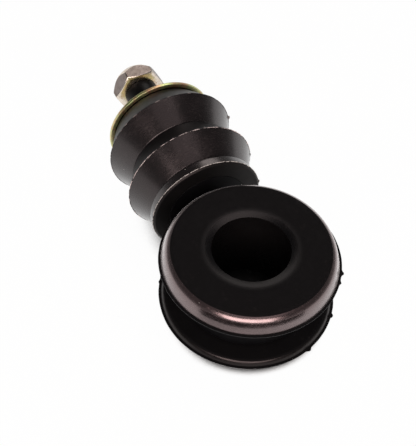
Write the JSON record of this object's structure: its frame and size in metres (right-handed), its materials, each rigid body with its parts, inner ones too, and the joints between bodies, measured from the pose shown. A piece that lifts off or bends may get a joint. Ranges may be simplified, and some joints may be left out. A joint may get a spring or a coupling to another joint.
{
  "type": "anti-roll bar link",
  "caption": "Anti-roll bar link: steel rod with a rubber bush in its eye, double-cone rubber bushes on its shank, a dished washer and a self-locking nut on its thread.",
  "frame": {"origin": "centre of the bar bore, half way along the eye bush", "axes": "+Z along the bar bore, +X along the rod from the eye to the nut"},
  "size_m": [0.0997, 0.044, 0.0356],
  "materials": {
    "rod_black": "black coated steel",
    "eye_rubber": "moulded satin rubber",
    "collar_rubber": "moulded satin rubber",
    "bush_rubber": "moulded satin rubber",
    "washer_zinc": "yellow passivated zinc",
    "nut_zinc": "clear passivated zinc",
    "ring_nylon": "nylon"
  },
  "bodies": {
    "link": {"link_rod": "rod_black", "seat_collar": "collar_rubber", "lower_bush": "bush_rubber"},
    "eye_bush": {"eye_bush": "eye_rubber"},
    "upper_bush": {"upper_bush": "bush_rubber"},
    "cup_washer": {"cup_washer": "washer_zinc"},
    "lock_ring": {"lock_ring": "ring_nylon"},
    "lock_nut": {"lock_nut": "nut_zinc"}
  },
  "joints": [
    {"name": "eye_bush_twist", "type": "hinge", "parent": "link", "child": "eye_bush", "pos_m": [0, 0, 0], "axis": [0, 0, 1], "range_deg": [-20, 20], "stiffness_Nm_per_rad": 2},
    {"name": "upper_bush_slide", "type": "slide", "parent": "link", "child": "upper_bush", "axis": [1, 0, 0], "range_m": [0, 0.008]},
    {"name": "cup_washer_slide", "type": "slide", "parent": "upper_bush", "child": "cup_washer", "axis": [1, 0, 0], "range_m": [0, 0.005]},
    {"name": "nut_travel", "type": "slide", "parent": "link", "child": "lock_ring", "axis": [1, 0, 0], "range_m": [0, 0.0057]},
    {"name": "nut_turn", "type": "hinge", "parent": "lock_ring", "child": "lock_nut", "pos_m": [0.0703, 0, 0], "axis": [1, 0, 0], "range_deg": [0, 1620]}
  ],
  "couplings": [
    {"joint": "nut_travel", "follows": "nut_turn", "m_per_rad": 0.00019894}
  ]
}
